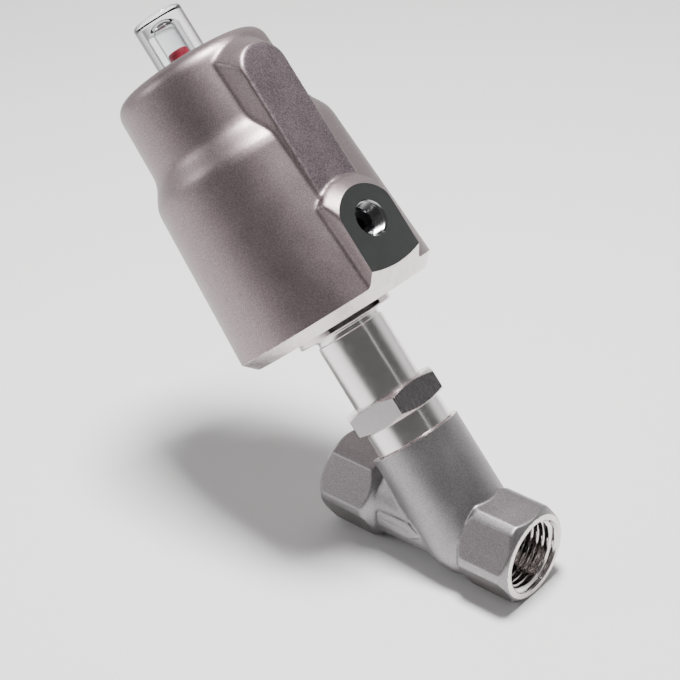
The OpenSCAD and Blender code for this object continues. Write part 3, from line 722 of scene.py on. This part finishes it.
def make_bonnet():
    nut = prism("bonnet_hexagon", hexagon(NUT_HALF, NUT_TURN), COLLAR_TOP_S, NUT_TOP_S, VALVE)
    corner, chamfer, flat = NUT_HALF + 1.9, 1.1, NUT_HALF - 0.2
    form = fillet([(0, COLLAR_TOP_S), (flat, COLLAR_TOP_S), (corner, COLLAR_TOP_S + chamfer),
                   (corner, NUT_TOP_S - chamfer), (flat, NUT_TOP_S), (0, NUT_TOP_S)], [0, 0.2, 0, 0, 0.2, 0])
    keep_common(nut, revolve("nut_form", form, VALVE))
    seat_r, mouth_r = TUBE_R + 0.03, TUBE_R + 0.5
    seat = [(0, COLLAR_TOP_S - 1), (seat_r, COLLAR_TOP_S - 1), (seat_r, NUT_TOP_S - 0.6),
            (mouth_r, NUT_TOP_S + 0.01), (mouth_r, NUT_TOP_S + 1), (0, NUT_TOP_S + 1)]
    cut(nut, revolve("tube_seat", seat, VALVE))
    bevel = nut.modifiers.new("edges", "BEVEL")
    bevel.width = NUT_BEVEL * MM
    bevel.segments = 3
    bevel.limit_method = "ANGLE"
    bevel.angle_limit = math.radians(40)
    apply_modifiers(nut)
    dress(nut, "hexagon", "turned")
    faces = Faces(nut, VALVE)
    faces.paint(nut, [abs(faces.nz) > 0.4])
    install(nut, "root", "polished_steel", "bonnet")
    spigot_s = NECK_S - 7
    outline = fillet([(TUBE_BORE_R, spigot_s), (SPIGOT_R, spigot_s), (SPIGOT_R, NECK_S), (COLLAR_R, NECK_S),
                      (COLLAR_R, COLLAR_TOP_S), (TUBE_BORE_R, COLLAR_TOP_S)], [0, 0.3, 0, 0.5, 0.4, 0])
    collar = revolve("bonnet_collar", outline, VALVE, 180)
    dress(collar, "polished")
    install(collar, "root", "polished_steel")


def make_tube():
    """Tube with a soft relief below the hub and the clip's groove inside it."""
    low_s, top_s = 30.5, 73.0
    relief = fillet([(TUBE_R, 61.8), *groove(TUBE_R, TUBE_R - 0.55, HUB_S - 1.9, HUB_S - 0.5),
                     (TUBE_R, HUB_S + 0.2)], [0, 0.15, 0.15, 0.15, 0.15, 0])
    clip_groove = groove(TUBE_R, TUBE_R - 0.9, HUB_S + 0.3, HUB_S + 1.7)
    foot, head = [(TUBE_BORE_R, low_s), (TUBE_R, low_s)], [(TUBE_R, top_s), (TUBE_BORE_R, top_s)]
    tube = revolve("polished_tube", foot + relief + clip_groove + head, VALVE, 200)
    dress(tube, "polished")
    install(tube, "root", "polished_steel", "spindle_tube")


def make_hub():
    """Cover with its hub: a recess below, seal grooves in rim, stem hole and bore, and the clip's slot."""
    base_s, top_s, bore_r = COVER_LOW_S, COVER_TOP_S, TUBE_R + 0.06
    recess_s, wall_r = base_s + RECESS_DEPTH, HUB_R + 2.5
    rim_groove = groove(COVER_R, 23, base_s + 2, base_s + 4.4)
    stem_groove = groove(STEM_HOLE_R, 6.9, top_s - 1, top_s - 3)
    tube_groove = groove(bore_r, 11.9, top_s - 6, top_s - 8.4)
    outline = [(bore_r, HUB_S)]
    outline += fillet([(TUBE_R + 0.5, HUB_S), (HUB_R, HUB_S), (HUB_R, base_s), (wall_r, base_s),
                       (wall_r, recess_s), (RECESS_R, recess_s), (RECESS_R, base_s), (COVER_R, base_s),
                       rim_groove[0]], [0, 0.35, 0.4, 0.2, 0.3, 0.3, 0.2, 0.3, 0])
    outline += rim_groove[1:] + [(COVER_R, top_s), (STEM_HOLE_R, top_s)] + stem_groove
    outline += [(STEM_HOLE_R, top_s - 4.1), (bore_r, top_s - 4.1)] + tube_groove
    hub = revolve("hub_cover", outline, VALVE, 180)
    turned = VALVE @ Matrix.Rotation(CLIP_TURN, 4, "Z")
    slot_s = HUB_S + 0.5
    cut(hub, block("clip_slot", 4, 20, CLIP_HALF, slot_s, slot_s + CLIP_T, turned))
    dress(hub, "turned")
    install(hub, "actuator", "turned_steel", "base_cover")


# Sight glass and indicator

GLASS_R, GLASS_HEIGHT, GLASS_ROOF, GLASS_INNER_R, GLASS_SPIGOT_R = 7.2, 15.2, 1.8, 3.3, 5.27
RED_R, RED_HEIGHT, ROD_R = 3.0, 4.5, 1.2


def make_sight_glass():
    """Thick clear dome: a cavity with a round end, and a spigot that sits in the housing's crown."""
    low_s, top_s = CROWN_S + 0.2, TOP_S + GLASS_HEIGHT
    outer = fillet([(0, low_s), (GLASS_SPIGOT_R, low_s), (GLASS_SPIGOT_R, TOP_S), (GLASS_R, TOP_S),
                    (GLASS_R, top_s), (0, top_s)], [0, 0.2, 0, 0.25, 0.7, 0])
    cavity = quarter(GLASS_INNER_R, TOP_S + GLASS_HEIGHT - GLASS_ROOF - GLASS_INNER_R, 1)
    glass = revolve("sight_dome", outer[1:] + cavity + [(GLASS_INNER_R, low_s)], VALVE, 120)
    dress(glass, "clear")
    install(glass, "actuator", "clear_plastic", "sight_glass")


def make_indicator():
    """Red head, hollow round the end of its rod."""
    top_s = TOP_S + RED_HEIGHT
    outline = fillet([(ROD_R, CROWN_S), (RED_R, CROWN_S), (RED_R, top_s), (0, top_s)], [0, 0.2, 1.0, 0])
    red = revolve("indicator_head", outline + [(0, top_s - 2), (ROD_R, top_s - 2)], VALVE, 96)
    dress(red, "red")
    install(red, "stem", "indicator_red", "position_indicator")


# Return springs

COIL_STEPS, WIRE_SIDES = 28, 12
CLOSED_TURNS, CLOSED_GAP = 0.9, 1.04


def make_spring(name, node, mean_r, wire, turns, low, high):
    """Coil of round wire between two stations, closed at both ends."""
    free = high - low - wire
    rise = CLOSED_TURNS * wire * CLOSED_GAP
    bm = bmesh.new()
    rings = []
    for i in range(round(turns * COIL_STEPS) + 1):
        a = i / COIL_STEPS
        if a < CLOSED_TURNS:
            z = rise * a / CLOSED_TURNS
        elif a > turns - CLOSED_TURNS:
            z = free - rise * (turns - a) / CLOSED_TURNS
        else:
            z = rise + (free - 2 * rise) * (a - CLOSED_TURNS) / (turns - 2 * CLOSED_TURNS)
        c, s = math.cos(TAU * a), math.sin(TAU * a)
        rings.append([bm.verts.new(((mean_r + out) * c, (mean_r + out) * s, low + wire / 2 + z + up))
                      for out, up in ring_points(wire / 2, WIRE_SIDES)])
    skin(bm, rings)
    spring = to_object(name, bm, VALVE)
    dress(spring, "spring")
    install(spring, "actuator", "spring_steel", node)
    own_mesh(spring)


# CAD nodes that keep their shape and get a finish

FINISHED_NODES = {
    "polished": ("spindle", "plug_cross_pin", "indicator_rod"),
    "turned": ("valve_plug", "seal_retainer", "spring_seat"),
    "hexagon": ("plug_nut", "piston_nut"),
    "clip": ("snap_ring", "retaining_clip"),
    "spring": ("packing_spring",),
    "piston": ("piston",),
    "bronze": ("spindle_guide",),
    "ptfe": ("spindle_wiper", "packing_rings", "seat_seal"),
    "filled": ("packing_support_ring", "packing_pressure_ring", "piston_guide_ring"),
    "graphite": ("bonnet_gasket",),
    "rubber": ("piston_seal", "base_o_ring", "tube_o_ring", "spindle_o_ring", "sight_glass_o_ring"),
}


def finish_nodes():
    for material, nodes in FINISHED_NODES.items():
        for node in nodes:
            dress(NODES[node], material)


# Stage, lights and camera, in metres and degrees

FLOOR_Z = -12.55 * MM
CAMERA_DISTANCE, CAMERA_AZIMUTH, CAMERA_ELEVATION, CAMERA_ROLL = 453.56 * MM, 43.0, 31.95, -3.72
CAMERA_TARGET = Vector((2.71, -2.81, 45.75)) * MM
FOCAL_PX, IMAGE_PX, SENSOR_MM = 1687.5, 680, 36.0
WHITE, WARM_WHITE = (1.0, 1.0, 1.0), (1.0, 0.985, 0.98)

# The studio is dim round this direction, which the housing mirrors, and pale from this far away from it
DIM_DIR = Vector((0.305, -0.327, 0.894))
PALE_AT, DIM_AT = 0.02, 0.45
PALE_STRENGTH, DIM_STRENGTH = 1.1, 0.15


def orbit(distance, azimuth, elevation, roll=0.0):
    """Place that far from the camera's target, looking at it, as a matrix."""
    az, el, ro = (math.radians(a) for a in (azimuth, elevation, roll))
    back = Vector((math.sin(az) * math.cos(el), -math.cos(az) * math.cos(el), math.sin(el)))
    level = Vector((math.cos(az), math.sin(az), 0))
    right = level * math.cos(ro) + back.cross(level) * math.sin(ro)
    turn = Matrix((right, back.cross(right), back)).transposed().to_4x4()
    return Matrix.Translation(CAMERA_TARGET + back * distance) @ turn


def place_camera():
    data = bpy.data.cameras.new("camera")
    camera = bpy.data.objects.new("camera", data)
    bpy.context.scene.collection.objects.link(camera)
    camera.matrix_world = orbit(CAMERA_DISTANCE, CAMERA_AZIMUTH, CAMERA_ELEVATION, CAMERA_ROLL)
    data.sensor_width = SENSOR_MM
    data.sensor_fit = "HORIZONTAL"
    data.lens = FOCAL_PX / IMAGE_PX * SENSOR_MM
    data.clip_start = 0.01
    bpy.context.scene.camera = camera


def area_light(name, azimuth, elevation, distance, size, power, colour=WHITE):
    data = bpy.data.lights.new(name, "AREA")
    data.shape = "RECTANGLE"
    data.size, data.size_y = size
    data.energy = power
    data.color = colour
    light = bpy.data.objects.new(name, data)
    bpy.context.scene.collection.objects.link(light)
    light.matrix_world = orbit(distance, azimuth, elevation)


def make_floor():
    bm = bmesh.new()
    bmesh.ops.create_grid(bm, x_segments=8, y_segments=8, size=3.0)
    floor = to_object("floor", bm, Matrix.Translation((0, 0, FLOOR_Z)))
    floor.data.materials.append(new_material("pale_floor", (0.86, 0.86, 0.86), 0.0, 0.7)[0])


def make_light():
    """Pale studio with a dim middle, a softbox overhead, a panel for the pipe and a strip for the tube."""
    world = bpy.context.scene.world or bpy.data.worlds.new("studio")
    bpy.context.scene.world = world
    world.use_nodes = True
    tree = world.node_tree
    background = tree.nodes["Background"]
    coord = tree.nodes.new("ShaderNodeTexCoord")
    slope = tree.nodes.new("ShaderNodeVectorMath")
    slope.operation = "DOT_PRODUCT"
    slope.inputs[1].default_value = DIM_DIR
    tree.links.new(coord.outputs["Generated"], slope.inputs[0])
    fade = tree.nodes.new("ShaderNodeMapRange")
    fade.interpolation_type = "SMOOTHSTEP"
    fade.inputs["From Min"].default_value = PALE_AT
    fade.inputs["From Max"].default_value = DIM_AT
    fade.inputs["To Min"].default_value = PALE_STRENGTH
    fade.inputs["To Max"].default_value = DIM_STRENGTH
    tree.links.new(slope.outputs["Value"], fade.inputs["Value"])
    tree.links.new(fade.outputs["Result"], background.inputs["Strength"])
    background.inputs["Color"].default_value = (*WARM_WHITE, 1)
    area_light("overhead", 162, 87, 0.75, (0.20, 0.20), 16.5, WARM_WHITE)
    area_light("pipe_side", -43, 24, 0.8, (0.30, 0.22), 1.2)
    area_light("tube_line", 99, 38, 0.8, (0.02, 0.30), 0.045)


make_housing()
make_body()
make_bonnet()
make_tube()
make_hub()
make_sight_glass()
make_indicator()
make_spring("outer_spring", "return_spring_outer", 17.6, 2.8, 8, SPRING_LOW_S, SPRING_TOP_S)
make_spring("inner_spring", "return_spring_inner", 12.0, 2.0, 9, SPRING_LOW_S, SPRING_TOP_S)
finish_nodes()
make_floor()
make_light()
place_camera()
